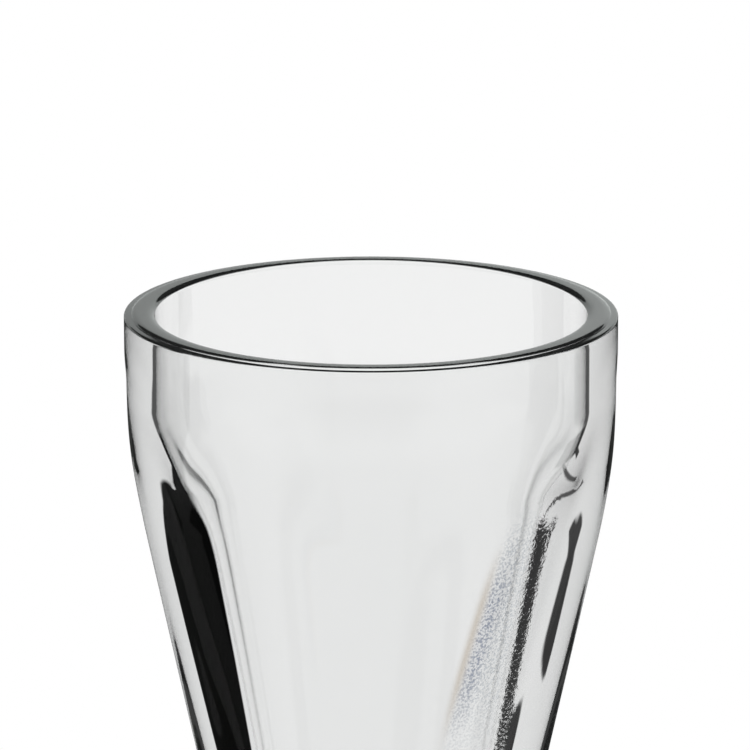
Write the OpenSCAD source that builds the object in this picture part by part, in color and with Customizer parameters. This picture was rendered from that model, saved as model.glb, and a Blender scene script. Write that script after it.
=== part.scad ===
// Footed milkshake glass in thick pressed glass.
// A plain banded rim stands over a tapered bowl with flat panels, on a ring knop and a round foot.
// Millimetres, +Z up, origin on the table under the middle of the foot.

/* [Glass] */
// Height from the table to the top of the rim
glass_h = 186; // [172:1:205]
// Outside diameter of the rim
rim_d = 86; // [78:0.5:96]

/* [Rim] */
// Wall thickness at the rim
wall_t = 5.4; // [5:0.1:7]
// Reach of the rim's bead from its highest line to the mouth
bead_inner_w = 2.8; // [1.6:0.1:3]
// Reach of the bead from its highest line to the ledge outside it
bead_outer_w = 1.2; // [0.6:0.1:1.4]
// Height of the bead over the ledge
bead_h = 0.3; // [0.1:0.05:0.6]
// Height of the bead's round on the side of the mouth
lip_h = 1; // [0.6:0.1:2]
// Fall of the ledge towards the outside, in degrees
ledge_angle = 5; // [2:0.5:10]
// Radius of the outer edge of the rim
rim_edge_r = 0.4; // [0.2:0.1:0.6]

/* [Outside of the bowl] */
// Height of the upright band under the rim, measured at the ridges
band_h = 20.5; // [16:0.5:28]
// Radius of the shoulder that turns the band into the ridges
shoulder_r = 88; // [60:1:110]
// Lean of the ridges from upright, in degrees
ridge_angle = 12; // [10.5:0.1:13]

/* [Panels] */
// Number of flat panels round the bowl
panel_count = 6; // [5:1:9]
// Depth of the top of a panel under the top of the rim
panel_top = 16.2; // [12:0.1:20]
// Lean of a panel where it leaves the band, in degrees
panel_entry_angle = 2.8; // [2:0.1:5]
// Lean of the flat of a panel, in degrees
panel_angle = 11.9; // [10.5:0.1:12.5]
// Radius of the curve between the top of a panel and its flat
panel_curve_r = 78; // [60:0.5:120]
// Height of the lower end of the flat above the base of the bowl
panel_end_h = 10; // [7:0.5:20]
// Radius of the sweep that carries the flat out at its lower end
panel_sweep_r = 8; // [5:0.2:14]

/* [Cavity] */
// How much more the inside of the bowl leans than the panels, in degrees
cavity_taper = 1.1; // [0:0.1:1.4]
// Height of the upright inside of the mouth under the bead
mouth_upright_h = 13.2; // [8:0.2:18]
// Radius of the curve between the mouth and the straight inside of the bowl
mouth_curve_r = 53; // [35:1:80]
// Solid glass under the lowest point of the cavity
floor_t = 13; // [10:0.5:20]

/* [Knop] */
// Largest diameter of the ring knop
knop_d = 40; // [34:0.5:46]
// Height of the ring knop
knop_h = 13; // [10:0.5:18]
// Diameter of the neck above and below the knop
neck_d = 29; // [24:0.5:32]
// Height of each neck
neck_h = 2; // [1:0.2:4]

/* [Foot] */
// Diameter of the foot
foot_d = 74; // [66:0.5:86]
// Height of the foot up to the knop's neck
foot_h = 15; // [11:0.5:20]
// Thickness of the foot at its round edge
foot_edge_t = 6; // [4:0.2:8]
// Width of the flat ring that the glass stands on
rest_ring_w = 7; // [4:0.5:10]
// Depth of the hollow under the foot
foot_hollow = 2.5; // [1:0.1:4]

/* [Hidden] */
$fn = 96;
round_steps = 16;
curve_steps = 10;
edge_steps = 5;
sweep_turn = 55;
// How square the bead is on the side of the mouth, where 2 is a plain ellipse
bead_square = 3.5;
glass_colour = [0.90, 0.93, 0.92, 0.45];

rim_r = rim_d / 2;
mouth_r = rim_r - wall_t;
neck_r = neck_d / 2;
foot_r = foot_d / 2;

// Rim: a low bead round the mouth and a ledge outside it that falls to the outer edge
bead_top_r = mouth_r + bead_inner_w;
ledge_inner_r = bead_top_r + bead_outer_w;
ledge_outer_r = rim_r - rim_edge_r;
ledge_z = glass_h - bead_h;
rim_edge_z = ledge_z - tan(ledge_angle) * (ledge_outer_r - ledge_inner_r) - rim_edge_r;
lip_z = glass_h - lip_h;

// Heights of the two joints, counted up from the table
knop_base_z = foot_h;
bowl_base_z = foot_h + 2 * neck_h + knop_h;

// Ridges: an upright band, a shoulder curve, then a straight taper
band_base_z = glass_h - band_h;
ridge_top_z = band_base_z - shoulder_r * sin(ridge_angle);
ridge_top_r = rim_r - shoulder_r * (1 - cos(ridge_angle));
bowl_base_r = ridge_top_r - tan(ridge_angle) * (ridge_top_z - bowl_base_z);

// Panels: a curve that leaves the band at the panel's top, then a flat that leans in
panel_curve_centre = [
    rim_r - panel_curve_r * cos(panel_entry_angle),
    glass_h - panel_top + panel_curve_r * sin(panel_entry_angle)
];
flat_top = panel_curve_centre + panel_curve_r * [cos(panel_angle), -sin(panel_angle)];
flat_foot_z = bowl_base_z + panel_end_h;
flat_foot = [flat_top[0] - tan(panel_angle) * (flat_top[1] - flat_foot_z), flat_foot_z];
flat_face = [cos(panel_angle), -sin(panel_angle)];
flat_down = [-sin(panel_angle), -cos(panel_angle)];

// Cavity: an upright mouth, a curve, a plain cone and a round floor that meets it without a corner
cavity_angle = panel_angle + cavity_taper;
mouth_base_z = lip_z - mouth_upright_h;
cone_top_z = mouth_base_z - mouth_curve_r * sin(cavity_angle);
cone_top_r = mouth_r - mouth_curve_r * (1 - cos(cavity_angle));
floor_z = bowl_base_z + floor_t;
floor_centre_z = (floor_z + cos(cavity_angle) * cone_top_r - sin(cavity_angle) * cone_top_z)
    / (1 - sin(cavity_angle));
floor_r = floor_centre_z - floor_z;

// A wave's height with its sign kept, sharpened for squarer curves
function squared(wave, square) = sign(wave) * pow(abs(wave), 2 / square);

// Points along an arc, an ellipse or a squarer curve, from one angle to another
function curve(centre, size, from, to, steps, square = 2) = [
    for (i = [0:steps])
        let (a = from + (to - from) * i / steps)
        centre + [size[0] * squared(cos(a), square), size[1] * squared(sin(a), square)]
];

function reversed(points) = [for (i = [len(points) - 1:-1:0]) points[i]];

// Half section of the bowl before its panels are cut
module bowl_section() {
    outside = concat(
        [[0, bowl_base_z], [bowl_base_r, bowl_base_z]],
        reversed(curve([rim_r - shoulder_r, band_base_z], [shoulder_r, shoulder_r],
            0, -ridge_angle, curve_steps))
    );
    rim = concat(
        curve([ledge_outer_r, rim_edge_z], [rim_edge_r, rim_edge_r], 0, 90 - ledge_angle, edge_steps),
        curve([bead_top_r, ledge_z], [bead_outer_w, bead_h], 0, 90, edge_steps),
        curve([bead_top_r, lip_z], [bead_inner_w, lip_h],
            90 + 90 / curve_steps, 180, curve_steps - 1, bead_square)
    );
    inside = concat(
        curve([mouth_r - mouth_curve_r, mouth_base_z], [mouth_curve_r, mouth_curve_r],
            0, -cavity_angle, curve_steps),
        curve([0, floor_centre_z], [floor_r, floor_r], -cavity_angle, -90, curve_steps)
    );
    polygon(concat(outside, rim, inside));
}

// What one panel takes off the bowl, standing on +X
module panel_cut() {
    top_curve = curve(panel_curve_centre, [panel_curve_r, panel_curve_r],
        0, -panel_angle, curve_steps);
    low_sweep = [
        for (i = [0:curve_steps])
            let (a = sweep_turn * i / curve_steps)
            flat_foot + panel_sweep_r * (1 - cos(a)) * flat_face + panel_sweep_r * sin(a) * flat_down
    ];
    rotate([90, 0, 0])
        linear_extrude(height = rim_d, center = true)
            polygon(concat(
                top_curve, low_sweep,
                [[rim_d, low_sweep[curve_steps][1]], [rim_d, panel_curve_centre[1]]]
            ));
}

module bowl() {
    color(glass_colour)
        difference() {
            rotate_extrude() bowl_section();
            for (i = [0:panel_count - 1])
                rotate(i * 360 / panel_count) panel_cut();
        }
}

// Ring knop between two short necks; its top face is the base of the bowl
module knop() {
    ring_z = knop_base_z + neck_h + knop_h / 2;
    upper_neck_z = bowl_base_z - neck_h;
    color(glass_colour)
        rotate_extrude()
            polygon(concat(
                [[0, knop_base_z], [neck_r, knop_base_z]],
                curve([neck_r, ring_z], [knop_d / 2 - neck_r, knop_h / 2], -90, 90, round_steps),
                curve([bowl_base_r, upper_neck_z], [neck_r - bowl_base_r, neck_h], 0, 90, curve_steps),
                [[0, bowl_base_z]]
            ));
}

// Trumpet foot with a round edge, a flat ring to stand on and a shallow hollow under it
module foot() {
    edge_r = foot_edge_t / 2;
    edge_centre = [foot_r - edge_r, edge_r];
    ring_inner_r = edge_centre[0] - rest_ring_w;
    color(glass_colour)
        rotate_extrude()
            polygon(concat(
                reversed(curve([0, 0], [ring_inner_r, foot_hollow], 0, 90, curve_steps)),
                curve(edge_centre, [edge_r, edge_r], -90, 90, round_steps),
                curve([edge_centre[0], foot_h], [neck_r - edge_centre[0], foot_edge_t - foot_h],
                    90, 0, curve_steps),
                [[0, foot_h]]
            ));
}

bowl();
knop();
foot();
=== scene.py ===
import math
from functools import partial

import bmesh
import bpy
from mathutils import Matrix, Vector


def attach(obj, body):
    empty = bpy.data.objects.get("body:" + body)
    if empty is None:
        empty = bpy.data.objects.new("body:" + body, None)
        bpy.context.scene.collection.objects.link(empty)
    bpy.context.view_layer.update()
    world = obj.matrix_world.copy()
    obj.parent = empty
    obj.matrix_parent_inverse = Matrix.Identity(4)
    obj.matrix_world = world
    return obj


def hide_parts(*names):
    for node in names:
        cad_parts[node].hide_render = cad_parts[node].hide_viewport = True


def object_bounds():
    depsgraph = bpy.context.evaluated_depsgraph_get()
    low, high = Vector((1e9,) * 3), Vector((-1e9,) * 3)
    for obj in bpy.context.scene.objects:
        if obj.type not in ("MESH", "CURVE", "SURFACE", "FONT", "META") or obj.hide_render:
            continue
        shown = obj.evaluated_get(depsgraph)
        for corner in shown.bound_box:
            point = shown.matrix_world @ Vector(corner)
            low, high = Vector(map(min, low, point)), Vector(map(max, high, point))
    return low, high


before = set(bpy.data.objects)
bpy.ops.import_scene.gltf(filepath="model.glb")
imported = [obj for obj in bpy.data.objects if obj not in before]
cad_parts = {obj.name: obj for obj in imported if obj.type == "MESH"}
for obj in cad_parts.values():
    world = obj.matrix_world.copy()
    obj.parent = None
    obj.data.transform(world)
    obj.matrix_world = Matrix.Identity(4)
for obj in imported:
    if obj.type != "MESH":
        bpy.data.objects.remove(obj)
cadBox = [[float(v) for v in corner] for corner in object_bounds()]
scene = bpy.context.scene
mm = 0.001
degrees = 180 / math.pi
print("frame loaded, nodes:", sorted(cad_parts))


# small helpers for the node trees
def addNode(tree, kind, **values):
    node = tree.nodes.new(kind)
    for name, value in values.items():
        setattr(node, name, value)
    return node


def feed(tree, socket, value):
    if isinstance(value, bpy.types.NodeSocket):
        tree.links.new(value, socket)
    else:
        socket.default_value = value


def maths(tree, operation, *values):
    node = addNode(tree, "ShaderNodeMath", operation=operation)
    for socket, value in zip(node.inputs, values):
        feed(tree, socket, value)
    return node.outputs[0]


# 0 under an edge and 1 over it, with a soft step between
def above(tree, value, edge, soft):
    ramp = addNode(tree, "ShaderNodeMapRange", interpolation_type="SMOOTHSTEP")
    feed(tree, ramp.inputs["Value"], maths(tree, "SUBTRACT", value, edge))
    ramp.inputs["From Min"].default_value = -soft
    ramp.inputs["From Max"].default_value = soft
    return ramp.outputs["Result"]


# where a colour mix keeps its two colours and its result
mixFirst, mixSecond, mixResult = 6, 7, 2


def mixed(tree, factor, first, second):
    mix = addNode(tree, "ShaderNodeMix", data_type="RGBA")
    feed(tree, mix.inputs["Factor"], factor)
    feed(tree, mix.inputs[mixFirst], first)
    feed(tree, mix.inputs[mixSecond], second)
    return mix.outputs[mixResult]


def noise(tree, where, size):
    node = addNode(tree, "ShaderNodeTexNoise")
    feed(tree, node.inputs["Vector"], where)
    node.inputs["Scale"].default_value = 1 / (size * mm)
    return node.outputs[0]


# camera: the photo looks slightly down into the mouth, and the frame ends halfway down the bowl
cameraSet = {
    "distance": 0.84,      # metres from the middle of the rim
    "lift": 13.65,         # degrees above level
    "turn": 2.5,           # degrees round to the left
    "rimAcross": 494.0,    # width of the rim in the picture, in pixels
    "rimMiddle": (371.0, 309.4),
    "frameSide": 750.0,
    "sensor": 36.0,        # millimetres
    "nearest": 0.01,       # metres
}
# the rim is the widest part, and the highest
rimWidth = cadBox[1][0] - cadBox[0][0]
rimMiddle = Vector((0.0, 0.0, cadBox[1][2]))


def makeCamera(s):
    lift, turn = math.radians(s["lift"]), math.radians(s["turn"])
    back = Vector((-math.sin(turn) * math.cos(lift), -math.cos(turn) * math.cos(lift), math.sin(lift)))
    data = bpy.data.cameras.new("photoCamera")
    camera = bpy.data.objects.new("photoCamera", data)
    scene.collection.objects.link(camera)
    camera.location = rimMiddle + back * s["distance"]
    camera.rotation_euler = (-back).to_track_quat("-Z", "Y").to_euler()
    side = s["frameSide"]
    data.sensor_width = s["sensor"]
    data.lens = s["rimAcross"] / rimWidth * s["distance"] / side * s["sensor"]
    data.shift_x = (side / 2 - s["rimMiddle"][0]) / side
    data.shift_y = -(side / 2 - s["rimMiddle"][1]) / side
    data.clip_start = s["nearest"]
    scene.camera = camera
    print("camera placed, lens", round(data.lens, 1))


makeCamera(cameraSet)

# the glass, in millimetres and degrees
glassSet = {
    "height": 186.0,
    "rimRadius": 43.0,
    "wall": 5.4,
    "crownCorner": 0.4,        # rounding of the outer edge
    "ledgeHeight": 0.3,        # the outer ledge lies this far under the bead
    "ledgeLean": 5.0,
    "beadOuter": 1.2,          # the bead's reach from its highest point to the ledge
    "beadInner": 2.8,          # and to the mouth
    "lipHeight": 1.0,
    "beadSquare": 3.5,         # 2 is a plain ellipse
    "bandHeight": 20.5,
    "shoulderRadius": 88.0,
    "ridgeLean": 12.0,
    "panels": 6,
    "panelTurn": 30.0,         # from the camera's side to the first panel
    "panelTop": 16.2,
    "panelEntryLean": 2.8,
    "panelLean": 11.9,
    "panelCurve": 78.0,
    "panelFlare": 0.05,        # how fast the curve opens out over its middle, per millimetre
    "panelEnd": 10.0,
    "panelSweep": 8.0,
    "noPanel": 999.0,          # out of reach, for the rows without panels
    "softTop": 2.2,            # how far the panels' edges are melted, near the band
    "softLow": 1.5,            # and lower down
    "softFrom": 25.0,          # depth where the one starts to turn into the other
    "softOver": 30.0,
    "softPlain": 1.0,          # for the rows without panels
    "insideLean": 13.0,
    "mouthUpright": 13.2,
    "mouthCurve": 53.0,
    "floorThickness": 13.0,
    "knopWidth": 40.0,
    "knopHeight": 13.0,
    "neckWidth": 29.0,
    "neckHeight": 2.0,
    "footWidth": 74.0,
    "footHeight": 15.0,
    "footEdge": 6.0,
    "restRing": 7.0,
    "ringCorner": 0.15,
    "footHollow": 2.5,
    "rippleHeight": 0.014,
    "rippleSize": 11.0,
    "rippleDetail": 1.0,
    "rippleSeed": 4.0,
    "rippleFull": 170.0,       # full under this level
    "rippleNone": 180.0,       # and none over this one
    "columns": 360,
    "closeBase": 12.0,         # the rows are closer this far over the base of the bowl
    "closeTop": 138.0,         # and over this level
    "mergeGap": 0.002,
}

# mesh rows along each stretch of the section
rowSet = {
    "hollow": 12,
    "footEdge": 12,
    "foot": 14,
    "knop": 22,
    "neck": 5,
    "base": 14,
    "flat": 24,
    "panelTops": 56,
    "crownCorner": 14,
    "ledge": 4,
    "beadOuter": 16,
    "beadInner": 22,
    "mouth": 16,
    "cone": 18,
    "floor": 14,
}


# points along an arc or an ellipse, made squarer by a power under 1
def arc(centre, size, start, stop, steps, power=1.0):
    points = []
    for i in range(steps + 1):
        a = math.radians(start + (stop - start) * i / steps)
        c, s = math.cos(a), math.sin(a)
        points.append((
            centre[0] + size[0] * math.copysign(abs(c) ** power, c),
            centre[1] + size[1] * math.copysign(abs(s) ** power, s),
        ))
    return points


# points along a straight line, without its ends
def straight(start, stop, steps):
    across, up = stop[0] - start[0], stop[1] - start[1]
    return [(start[0] + across * i / steps, start[1] + up * i / steps) for i in range(1, steps)]


# even levels after the first one
def spread(start, stop, steps):
    return [start + (stop - start) * i / steps for i in range(1, steps + 1)]


def bowlBase(s):
    return s["footHeight"] + 2 * s["neckHeight"] + s["knopHeight"]


def ridgeRadius(s, depth):
    lean = math.radians(s["ridgeLean"])
    rim, shoulder = s["rimRadius"], s["shoulderRadius"]
    below = depth - s["bandHeight"]
    turn = shoulder * math.sin(lean)
    if below <= 0:
        return rim
    if below <= turn:
        return rim - shoulder + math.sqrt(shoulder ** 2 - below ** 2)
    return rim - shoulder * (1 - math.cos(lean)) - math.tan(lean) * (below - turn)


def panelReach(s, depth):
    entry, lean = math.radians(s["panelEntryLean"]), math.radians(s["panelLean"])
    curve = s["panelCurve"]
    middleReach = s["rimRadius"] - curve * math.cos(entry)
    middleDepth = s["panelTop"] - curve * math.sin(entry)
    below = depth - middleDepth
    turn = curve * math.sin(lean)
    if below <= 0:
        return middleReach + curve + s["panelFlare"] * below ** 2
    if below <= turn:
        return middleReach + math.sqrt(curve ** 2 - below ** 2)
    reach = middleReach + curve * math.cos(lean) - math.tan(lean) * (below - turn)
    past = max(depth - (s["height"] - bowlBase(s) - s["panelEnd"]), 0.0) / math.cos(lean)
    return reach + past ** 2 / (2 * s["panelSweep"]) / math.cos(lean)


# level where the outer edge of the rim starts to round over
def crownBase(s):
    ledgeWide = s["wall"] - s["crownCorner"] - s["beadInner"] - s["beadOuter"]
    fall = math.tan(math.radians(s["ledgeLean"])) * ledgeWide
    return s["height"] - s["ledgeHeight"] - fall - s["crownCorner"]


# hollow, rest ring, foot and knop, from the middle outwards and up
def footPoints(s):
    neck, foot = s["neckWidth"] / 2, s["footWidth"] / 2
    edge = s["footEdge"] / 2
    ring = foot - edge - s["restRing"]
    corner = s["ringCorner"]
    base = bowlBase(s)
    baseRadius = ridgeRadius(s, s["height"] - base)
    knopMiddle = s["footHeight"] + s["neckHeight"] + s["knopHeight"] / 2
    knopSize = (s["knopWidth"] / 2 - neck, s["knopHeight"] / 2)
    trumpet = (neck - foot + edge, s["footEdge"] - s["footHeight"])
    points = arc((0, 0), (ring, s["footHollow"]), 90, 0, rowSet["hollow"])[:-1]
    points += [(ring, corner), (ring + corner, 0.0)]
    points += arc((foot - edge, edge), (edge, edge), -90, 90, rowSet["footEdge"])
    points += arc((foot - edge, s["footHeight"]), trumpet, 90, 0, rowSet["foot"])[1:]
    points += arc((neck, knopMiddle), knopSize, -90, 90, rowSet["knop"])
    points += arc((baseRadius, base - s["neckHeight"]), (neck - baseRadius, s["neckHeight"]),
                  0, 90, rowSet["neck"])[1:]
    return points


# outside of the bowl, with the closest rows round the tops of the panels
def outsideRows(s):
    base = bowlBase(s)
    levels = spread(base, base + s["closeBase"], rowSet["base"])
    levels += spread(base + s["closeBase"], s["closeTop"], rowSet["flat"])
    levels += spread(s["closeTop"], crownBase(s), rowSet["panelTops"])
    rows = []
    for level in levels:
        depth = s["height"] - level
        mix = min(max((depth - s["softFrom"]) / s["softOver"], 0.0), 1.0)
        melt = s["softTop"] + (s["softLow"] - s["softTop"]) * mix
        rows.append((ridgeRadius(s, depth), level, panelReach(s, depth), melt))
    return rows


# outer edge, ledge and bead
def rimPoints(s):
    corner = s["crownCorner"]
    peak = s["rimRadius"] - s["wall"] + s["beadInner"]
    ledge = s["height"] - s["ledgeHeight"]
    lip = s["height"] - s["lipHeight"]
    points = arc((s["rimRadius"] - corner, crownBase(s)), (corner, corner),
                 0, 90 - s["ledgeLean"], rowSet["crownCorner"])[1:]
    points += straight(points[-1], (peak + s["beadOuter"], ledge), rowSet["ledge"])
    points += arc((peak, ledge), (s["beadOuter"], s["ledgeHeight"]), 0, 90, rowSet["beadOuter"])
    points += arc((peak, lip), (s["beadInner"], s["lipHeight"]),
                  90, 180, rowSet["beadInner"], 2 / s["beadSquare"])[1:]
    return points


# mouth, cone and round floor
def cavityPoints(s):
    lean = math.radians(s["insideLean"])
    curve = s["mouthCurve"]
    curveTop = s["height"] - s["lipHeight"] - s["mouthUpright"]
    points = arc((s["rimRadius"] - s["wall"] - curve, curveTop), (curve, curve),
                 0, -s["insideLean"], rowSet["mouth"])
    coneTop = points[-1]
    floor = bowlBase(s) + s["floorThickness"]
    middle = (floor + math.cos(lean) * coneTop[0] - math.sin(lean) * coneTop[1]) / (1 - math.sin(lean))
    bowlEnd = arc((0, middle), (middle - floor,) * 2, -s["insideLean"], -90, rowSet["floor"])
    return points + straight(coneTop, bowlEnd[0], rowSet["cone"]) + bowlEnd


# each row: reach, level, reach of the panels and how far their edges are melted
def glassRows(s):
    plain = (s["noPanel"], s["softPlain"])
    rows = [point + plain for point in footPoints(s)]
    rows += outsideRows(s)
    rows += [point + plain for point in rimPoints(s) + cavityPoints(s)]
    return rows


def spinTree(s):
    tree = bpy.data.node_groups.new("spinAndPanel", "GeometryNodeTree")
    calc = partial(maths, tree)
    face = tree.interface
    face.new_socket(name="Geometry", in_out="INPUT", socket_type="NodeSocketGeometry")
    inputs = {
        "Columns": "NodeSocketInt",
        "Rows": "NodeSocketInt",
        "Panels": "NodeSocketFloat",
        "First Panel": "NodeSocketFloat",
        "Ripple Height": "NodeSocketFloat",
        "Ripple Size": "NodeSocketFloat",
        "Finish": "NodeSocketMaterial",
    }
    for name, kind in inputs.items():
        face.new_socket(name=name, in_out="INPUT", socket_type=kind)
    face.new_socket(name="Geometry", in_out="OUTPUT", socket_type="NodeSocketGeometry")
    given = addNode(tree, "NodeGroupInput")
    rows = given.outputs["Rows"]
    grid = addNode(tree, "GeometryNodeMeshGrid")
    feed(tree, grid.inputs["Vertices X"], calc("ADD", given.outputs["Columns"], 1.0))
    feed(tree, grid.inputs["Vertices Y"], rows)
    # each grid column is one turn step, each grid row one point of the section
    index = addNode(tree, "GeometryNodeInputIndex").outputs[0]
    column = calc("FLOOR", calc("DIVIDE", calc("ADD", index, 0.5), rows))
    row = calc("SUBTRACT", index, calc("MULTIPLY", column, rows))

    def fromRow(attribute):
        named = addNode(tree, "GeometryNodeInputNamedAttribute", data_type="FLOAT")
        named.inputs["Name"].default_value = attribute
        sample = addNode(tree, "GeometryNodeSampleIndex", data_type="FLOAT", domain="POINT")
        feed(tree, sample.inputs["Geometry"], given.outputs["Geometry"])
        feed(tree, sample.inputs["Value"], named.outputs["Attribute"])
        feed(tree, sample.inputs["Index"], row)
        return sample.outputs["Value"]

    angle = calc("MULTIPLY", calc("DIVIDE", column, given.outputs["Columns"]), math.tau)
    half = calc("DIVIDE", math.pi, given.outputs["Panels"])
    past = calc("SUBTRACT", angle, given.outputs["First Panel"])
    away = calc("WRAP", past, half, calc("MULTIPLY", half, -1.0))
    flat = calc("DIVIDE", fromRow("panelReach"), calc("COSINE", away))
    radius = calc("SMOOTH_MIN", fromRow("reach"), flat, fromRow("melt"))
    place = addNode(tree, "ShaderNodeCombineXYZ")
    feed(tree, place.inputs[0], calc("MULTIPLY", radius, calc("SINE", angle)))
    feed(tree, place.inputs[1], calc("MULTIPLY", radius, calc("MULTIPLY", calc("COSINE", angle), -1.0)))
    feed(tree, place.inputs[2], fromRow("level"))
    shaped = addNode(tree, "GeometryNodeSetPosition")
    feed(tree, shaped.inputs["Geometry"], grid.outputs["Mesh"])
    feed(tree, shaped.inputs["Position"], place.outputs[0])
    joined = addNode(tree, "GeometryNodeMergeByDistance")
    feed(tree, joined.inputs["Geometry"], shaped.outputs["Geometry"])
    joined.inputs["Distance"].default_value = s["mergeGap"] * mm
    # faint ripple of pressed glass, which dies out towards the rim
    where = addNode(tree, "GeometryNodeInputPosition").outputs[0]
    wave = addNode(tree, "ShaderNodeTexNoise", noise_dimensions="4D")
    feed(tree, wave.inputs["Vector"], where)
    wave.inputs["W"].default_value = s["rippleSeed"]
    feed(tree, wave.inputs["Scale"], calc("DIVIDE", 1.0, given.outputs["Ripple Size"]))
    wave.inputs["Detail"].default_value = s["rippleDetail"]
    height = addNode(tree, "ShaderNodeSeparateXYZ")
    feed(tree, height.inputs[0], where)
    calm = addNode(tree, "ShaderNodeMapRange", interpolation_type="SMOOTHSTEP")
    feed(tree, calm.inputs["Value"], height.outputs["Z"])
    calm.inputs["From Min"].default_value = s["rippleNone"] * mm
    calm.inputs["From Max"].default_value = s["rippleFull"] * mm
    swell = calc("MULTIPLY", calc("SUBTRACT", wave.outputs[0], 0.5),
                 calc("MULTIPLY", calm.outputs["Result"], given.outputs["Ripple Height"]))
    push = addNode(tree, "ShaderNodeVectorMath", operation="SCALE")
    feed(tree, push.inputs[0], addNode(tree, "GeometryNodeInputNormal").outputs[0])
    feed(tree, push.inputs["Scale"], swell)
    rippled = addNode(tree, "GeometryNodeSetPosition")
    feed(tree, rippled.inputs["Geometry"], joined.outputs["Geometry"])
    feed(tree, rippled.inputs["Offset"], push.outputs[0])
    smooth = addNode(tree, "GeometryNodeSetShadeSmooth")
    feed(tree, smooth.inputs["Geometry"], rippled.outputs["Geometry"])
    real = addNode(tree, "GeometryNodeRealizeInstances")
    feed(tree, real.inputs[0], smooth.outputs[0])
    finish = addNode(tree, "GeometryNodeSetMaterial")
    feed(tree, finish.inputs["Geometry"], real.outputs[0])
    feed(tree, finish.inputs["Material"], given.outputs["Finish"])
    out = addNode(tree, "NodeGroupOutput")
    feed(tree, out.inputs[0], finish.outputs[0])
    return tree


# clear glass with faint cords of tint, and orange peel left by the plunger on one side of the cavity, with
# painted shade in specks and a smear over the peel and a painted warm fringe beside it
finishSet = {
    "ior": 1.5,
    "bodyTint": (0.48, 0.51, 0.50, 1.0),
    "bodyDensity": 8.5,
    "cordSize": 14.0,          # millimetres
    "clear": (1.0, 1.0, 1.0, 1.0),
    "cord": (0.985, 0.99, 0.987, 1.0),
    "peelSize": 0.65,          # millimetres, as are the depth and the levels
    "peelDepth": 0.014,
    "peelTurn": (22.0, 54.5),  # degrees round from the camera's side, at the level below
    "peelLevel": 115.0,
    "peelSlant": 0.36,         # degrees per millimetre
    "peelSoft": 3.0,           # degrees
    "peelTop": 156.0,
    "peelTopSoft": 6.0,
    "halfwayLevel": 159.0,     # a cone halfway through the wall, with its radius at this level
    "halfwayRadius": 38.4,
    "halfwayRise": 0.2,        # millimetres per millimetre of level
    "paintedSpeckFiner": 1.5,         # how much finer the specks are than the peel
    "paintedSpeckLevel": 0.52,        # noise over this makes a speck
    "paintedSpeckSoft": 0.09,
    "paintedSpeckLow": 0.35,          # how strong the painted specks of shade are under the painted smear of shade
    # painted shade: grey specks for dark surroundings seen through the peel
    "paintedSpeckShade": (0.54, 0.58, 0.63, 1.0),
    "paintedShadeWide": 7.0,          # degrees
    "paintedShadeSoft": 4.0,
    "paintedShadeStrength": 1.2,
    "paintedShadePlain": 0.3,         # how strong it is between its specks
    "paintedShadeSpecked": 0.5,       # and how much stronger in them
    "paintedShadeLevels": (121.0, 148.0),
    "paintedShadeLevelsSoft": (9.0, 7.0),
    # painted shade: a cool smear for dark surroundings seen through the uneven inside
    "paintedShade": (0.02, 0.04, 0.12, 1.0),
    "paintedFringeWide": 2.5,         # degrees
    "paintedFringeSoft": 2.0,
    # painted light: a warm colour fringe beside the painted smear of shade
    "paintedFringe": (0.50, 0.40, 0.29, 1.0),
}


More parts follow.
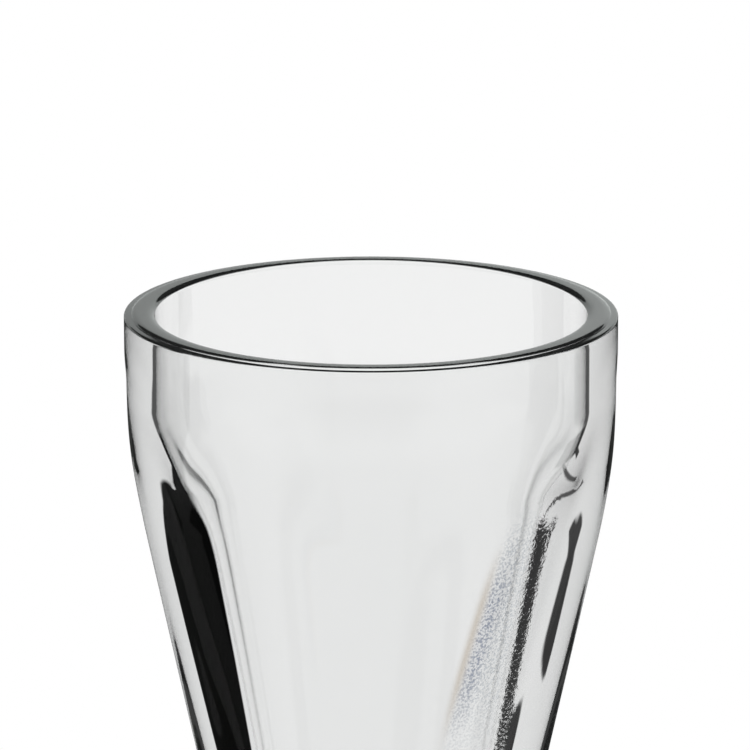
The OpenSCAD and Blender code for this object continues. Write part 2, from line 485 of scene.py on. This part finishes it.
def glassFinish(s):
    material = bpy.data.materials.new("pressedGlass")
    material.use_nodes = True
    tree = material.node_tree
    calc, over = partial(maths, tree), partial(above, tree)
    shader = tree.nodes["Principled BSDF"]
    shader.inputs["Roughness"].default_value = 0.0
    shader.inputs["IOR"].default_value = s["ior"]
    shader.inputs["Transmission Weight"].default_value = 1.0
    where = addNode(tree, "ShaderNodeTexCoord").outputs["Object"]
    parts = addNode(tree, "ShaderNodeSeparateXYZ")
    feed(tree, parts.inputs[0], where)
    across, along, level = (calc("MULTIPLY", parts.outputs[name], 1 / mm) for name in "XYZ")
    turn = calc("MULTIPLY", calc("ARCTAN2", across, calc("MULTIPLY", along, -1.0)), degrees)
    reach = calc("SQRT", calc("ADD", calc("MULTIPLY", across, across), calc("MULTIPLY", along, along)))

    # the peel is a slanting patch, on the inside alone
    slant = calc("MULTIPLY", calc("SUBTRACT", level, s["peelLevel"]), s["peelSlant"])
    firstTurn, lastTurn = s["peelTurn"]

    def pastFirst(turns, soft):
        return over(turn, calc("ADD", slant, firstTurn + turns), soft)

    halfway = calc("MULTIPLY_ADD", calc("SUBTRACT", level, s["halfwayLevel"]),
                   s["halfwayRise"], s["halfwayRadius"])
    within = calc("SUBTRACT", 1.0, over(level, s["peelTop"], s["peelTopSoft"]))
    within = calc("MULTIPLY", within, calc("LESS_THAN", reach, halfway))
    first = pastFirst(0.0, s["peelSoft"])
    patch = calc("SUBTRACT", first, over(turn, lastTurn, s["peelSoft"]))
    patch = calc("MULTIPLY", patch, within)

    # grey specks of painted shade lie over it, and its first edge is a cool smear of painted shade with a
    # painted warm fringe: dark surroundings and a colour fringe seen through the uneven inside, painted
    # into the base colour
    paintedSpeckMask = over(noise(tree, where, s["peelSize"] / s["paintedSpeckFiner"]), s["paintedSpeckLevel"], s["paintedSpeckSoft"])
    lowLevel, highLevel = s["paintedShadeLevels"]
    lowSoft, highSoft = s["paintedShadeLevelsSoft"]
    raised = over(level, lowLevel, lowSoft)
    height = calc("SUBTRACT", raised, over(level, highLevel, highSoft))
    height = calc("MULTIPLY", height, within)
    paintedSpecks = calc("MULTIPLY", calc("MULTIPLY", patch, paintedSpeckMask),
                  calc("MULTIPLY_ADD", raised, 1 - s["paintedSpeckLow"], s["paintedSpeckLow"]))
    # painted shade: a cool smear along the peel's first edge
    paintedShade = calc("SUBTRACT", first, pastFirst(s["paintedShadeWide"], s["paintedShadeSoft"]))
    paintedShade = calc("MULTIPLY", calc("MAXIMUM", paintedShade, 0.0), s["paintedShadeStrength"])
    paintedShade = calc("MULTIPLY", calc("MINIMUM", paintedShade, 1.0), height)
    paintedShade = calc("MULTIPLY", paintedShade, calc("MULTIPLY_ADD", paintedSpeckMask, s["paintedShadeSpecked"], s["paintedShadePlain"]))
    # painted light: a warm colour fringe just before that edge
    paintedFringe = calc("SUBTRACT", pastFirst(-s["paintedFringeWide"], s["paintedFringeSoft"]), pastFirst(0.0, s["paintedFringeSoft"]))
    paintedFringe = calc("MULTIPLY", paintedFringe, height)
    colour = mixed(tree, noise(tree, where, s["cordSize"]), s["clear"], s["cord"])
    # the painted shade and fringe are mixed into the base colour over the cords
    for mask, name in ((paintedSpecks, "paintedSpeckShade"), (paintedShade, "paintedShade"), (paintedFringe, "paintedFringe")):
        colour = mixed(tree, mask, colour, s[name])
    feed(tree, shader.inputs["Base Color"], colour)

    peel = addNode(tree, "ShaderNodeBump")
    feed(tree, peel.inputs["Strength"], patch)
    peel.inputs["Distance"].default_value = s["peelDepth"] * mm
    feed(tree, peel.inputs["Height"], noise(tree, where, s["peelSize"]))
    feed(tree, shader.inputs["Normal"], peel.outputs[0])
    body = addNode(tree, "ShaderNodeVolumeAbsorption")
    body.inputs["Color"].default_value = s["bodyTint"]
    body.inputs["Density"].default_value = s["bodyDensity"]
    feed(tree, tree.nodes["Material Output"].inputs["Volume"], body.outputs[0])
    return material


def makeGlass(s, finish):
    rows = glassRows(s)
    section = bpy.data.meshes.new("glassSection")
    section.from_pydata([(row[0] * mm, 0.0, row[1] * mm) for row in rows],
                        [(i, i + 1) for i in range(len(rows) - 1)], [])
    for column, name in enumerate(("reach", "level", "panelReach", "melt")):
        values = [row[column] * mm for row in rows]
        section.attributes.new(name, "FLOAT", "POINT").data.foreach_set("value", values)
    source = bpy.data.objects.new("glassSource", section)
    scene.collection.objects.link(source)
    tree = spinTree(s)
    spin = source.modifiers.new("spin", "NODES")
    spin.node_group = tree
    given = {"Columns": s["columns"], "Rows": len(rows), "Panels": float(s["panels"]),
             "First Panel": math.radians(s["panelTurn"]), "Ripple Height": s["rippleHeight"] * mm,
             "Ripple Size": s["rippleSize"] * mm, "Finish": finish}
    for item in tree.interface.items_tree:
        if item.in_out == "INPUT" and item.name in given:
            spin[item.identifier] = given[item.name]
    ready = source.evaluated_get(bpy.context.evaluated_depsgraph_get())
    mesh = bpy.data.meshes.new_from_object(ready)
    bpy.data.objects.remove(source)
    mesh.name = "milkshakeGlass"
    glass = bpy.data.objects.new("milkshakeGlass", mesh)
    scene.collection.objects.link(glass)
    solid = bmesh.new()
    solid.from_mesh(mesh)
    volume = solid.calc_volume(signed=True) / (10 * mm) ** 3
    solid.free()
    print("glass made:", len(mesh.vertices), "points,", len(mesh.polygons), "faces")
    print("volume of the glass in cubic centimetres:", round(volume, 1))
    return glass


glass = makeGlass(glassSet, glassFinish(finishSet))
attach(glass, "root")
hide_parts("bowl", "knop", "foot")

# light: a white room with a dark ceiling and dark cards at both sides, so the thick walls draw themselves
# angles are in degrees
fieldSet = {
    "room": 0.89,
    "wallRoom": 0.91,          # the back wall
    "wallFrom": -17.0,
    "wallSoft": 1.5,
    "ceilingFrom": 10.0,
    "ceilingSoft": 3.0,
    "ceilingLight": 0.03,
    "backdropTurn": 75.0,      # reflections see a pale backdrop this wide
    "backdropTurnSoft": 2.0,
    "backdropLow": -5.0,
    "backdropTop": 18.0,
    "backdropSoft": 0.8,
    "backdropLeft": 0.66,
    "backdropRight": 0.98,
    "backdropChange": 8.0,     # from the one to the other, either side of the middle
    "backdropTint": (0.955, 1.0, 0.98, 1.0),
    "dimRoom": 0.05,           # and a dim room in front
    "lampFrom": 42.0,          # with a soft lamp overhead
    "lampSoft": 6.0,
    "lampLight": 0.9,
    "kept": 0.25,              # light kept at each further reflection inside the walls
    "keptLeast": 0.05,
    "leastAhead": 0.02,        # no nearer than this to straight sideways
    "cardSoft": 0.7,
    # turn from and to, drop from and to on a plane one metre behind, how much more it drops
    # for each degree, softness of the drop, how light
    "cards": [
        (-80.0, -45.3, 1.30, 0.58, 0.0, 0.05, 0.0),         # black zone at the left
        (-48.0, -36.0, 1.20, 0.935, 0.0, 0.02, 0.0),        # its top
        (-80.0, -45.3, 0.62, 0.14, 0.0, 0.08, 0.10),        # left line in the band
        (26.0, 54.0, 0.805, 0.775, 0.0104, 0.008, 0.12),    # arch at the right
        (41.5, 47.0, 0.825, 0.755, 0.0, 0.01, 0.05),        # top of the stripe under it
        (45.4, 60.0, 0.80, 0.45, 0.033, 0.03, 0.04),        # the stripe and the line beside it
        (45.4, 60.0, 0.55, 0.14, 0.0, 0.08, 0.10),          # right line in the band
    ],
}


def makeField(s):
    world = bpy.data.worlds.new("studio")
    scene.world = world
    world.use_nodes = True
    tree = world.node_tree
    calc, over = partial(maths, tree), partial(above, tree)
    sky = tree.nodes["Background"]
    where = addNode(tree, "ShaderNodeTexCoord")
    faced = addNode(tree, "ShaderNodeVectorRotate", rotation_type="Z_AXIS")
    feed(tree, faced.inputs["Vector"], where.outputs["Generated"])
    faced.inputs["Angle"].default_value = math.radians(cameraSet["turn"])
    parts = addNode(tree, "ShaderNodeSeparateXYZ")
    feed(tree, parts.inputs[0], faced.outputs[0])
    turn = calc("MULTIPLY", calc("ARCTAN2", parts.outputs["X"], parts.outputs["Y"]), degrees)
    lift = calc("MULTIPLY", calc("ARCSINE", parts.outputs["Z"]), degrees)
    plane = calc("DIVIDE", parts.outputs["Z"], calc("MAXIMUM", parts.outputs["Y"], s["leastAhead"]))
    path = addNode(tree, "ShaderNodeLightPath").outputs

    def between(value, low, high, soft):
        return calc("SUBTRACT", over(value, low, soft), over(value, high, soft))

    def blend(level, mask, new):
        old = calc("MULTIPLY", level, calc("SUBTRACT", 1.0, mask))
        return calc("ADD", old, calc("MULTIPLY", mask, new))

    # what light that has come through the glass sees
    level = blend(s["room"], over(lift, s["wallFrom"], s["wallSoft"]), s["wallRoom"])
    level = blend(level, over(lift, s["ceilingFrom"], s["ceilingSoft"]), s["ceilingLight"])
    # only light that was turned inside the walls meets the cards
    turned = calc("MINIMUM", path["Glossy Depth"], 1.0)
    for turnLow, turnHigh, dropLow, dropHigh, slant, soft, light in s["cards"]:
        fall = calc("MULTIPLY_ADD", calc("SUBTRACT", turn, turnLow), slant, plane)
        mask = calc("MULTIPLY", between(turn, turnLow, turnHigh, s["cardSoft"]),
                    between(fall, -dropLow, -dropHigh, soft))
        level = blend(level, calc("MULTIPLY", mask, turned), light)
    rounds = calc("MAXIMUM", calc("SUBTRACT", path["Glossy Depth"], 1.0), 0.0)
    kept = calc("MAXIMUM", calc("POWER", s["kept"], rounds), s["keptLeast"])
    level = calc("MULTIPLY", level, kept)
    # what reflections on the outside see
    backdrop = calc("MULTIPLY", between(turn, -s["backdropTurn"], s["backdropTurn"], s["backdropTurnSoft"]),
                    between(lift, s["backdropLow"], s["backdropTop"], s["backdropSoft"]))
    mirrored = calc("GREATER_THAN", path["Is Glossy Ray"], path["Is Transmission Ray"])
    pale = blend(s["backdropLeft"], over(turn, 0.0, s["backdropChange"]), s["backdropRight"])
    seen = blend(s["dimRoom"], over(lift, s["lampFrom"], s["lampSoft"]), s["lampLight"])
    level = blend(level, mirrored, blend(seen, backdrop, pale))
    feed(tree, sky.inputs["Color"], mixed(tree, mirrored, (1.0, 1.0, 1.0, 1.0), s["backdropTint"]))
    # the picture's own background and the light on the floor are plain white
    plain = calc("MAXIMUM", path["Is Camera Ray"], path["Is Diffuse Ray"])
    feed(tree, sky.inputs["Strength"], calc("MAXIMUM", level, plain))
    print("light set")


makeField(fieldSet)

# floor: pale, fading to the white of the room away from the glass, in metres
floorSet = {
    "half": 2.0,
    "under": 0.0002,
    "shade": (0.9, 0.9, 0.9, 1.0),
    "roughness": 0.9,
    "fadeFrom": 0.10,
    "fadeTo": 0.26,
}


def makeFloor(s):
    half = s["half"]
    corners = [(-half, -half, 0), (half, -half, 0), (half, half, 0), (-half, half, 0)]
    mesh = bpy.data.meshes.new("floor")
    mesh.from_pydata(corners, [], [(0, 1, 2, 3)])
    floor = bpy.data.objects.new("floor", mesh)
    scene.collection.objects.link(floor)
    floor.location.z = -s["under"]
    material = bpy.data.materials.new("paleFloor")
    material.use_nodes = True
    tree = material.node_tree
    matt = tree.nodes["Principled BSDF"]
    matt.inputs["Roughness"].default_value = s["roughness"]
    matt.inputs["Base Color"].default_value = s["shade"]
    where = addNode(tree, "ShaderNodeTexCoord")
    far = addNode(tree, "ShaderNodeVectorMath", operation="LENGTH")
    feed(tree, far.inputs[0], where.outputs["Object"])
    fade = addNode(tree, "ShaderNodeMapRange", interpolation_type="SMOOTHSTEP")
    feed(tree, fade.inputs["Value"], far.outputs["Value"])
    fade.inputs["From Min"].default_value = s["fadeFrom"]
    fade.inputs["From Max"].default_value = s["fadeTo"]
    white = addNode(tree, "ShaderNodeEmission")
    path = addNode(tree, "ShaderNodeLightPath")
    feed(tree, white.inputs["Strength"], path.outputs["Is Camera Ray"])
    mix = addNode(tree, "ShaderNodeMixShader")
    feed(tree, mix.inputs[0], fade.outputs["Result"])
    feed(tree, mix.inputs[1], matt.outputs[0])
    feed(tree, mix.inputs[2], white.outputs[0])
    feed(tree, tree.nodes["Material Output"].inputs["Surface"], mix.outputs[0])
    mesh.materials.append(material)
    floor.visible_transmission = False
    floor.visible_glossy = False
    print("floor laid")


makeFloor(floorSet)
scene.view_settings.view_transform = "Standard"
# the thick walls turn light many times
scene.cycles.max_bounces = 32
scene.cycles.transmission_bounces = 32
scene.cycles.glossy_bounces = 16
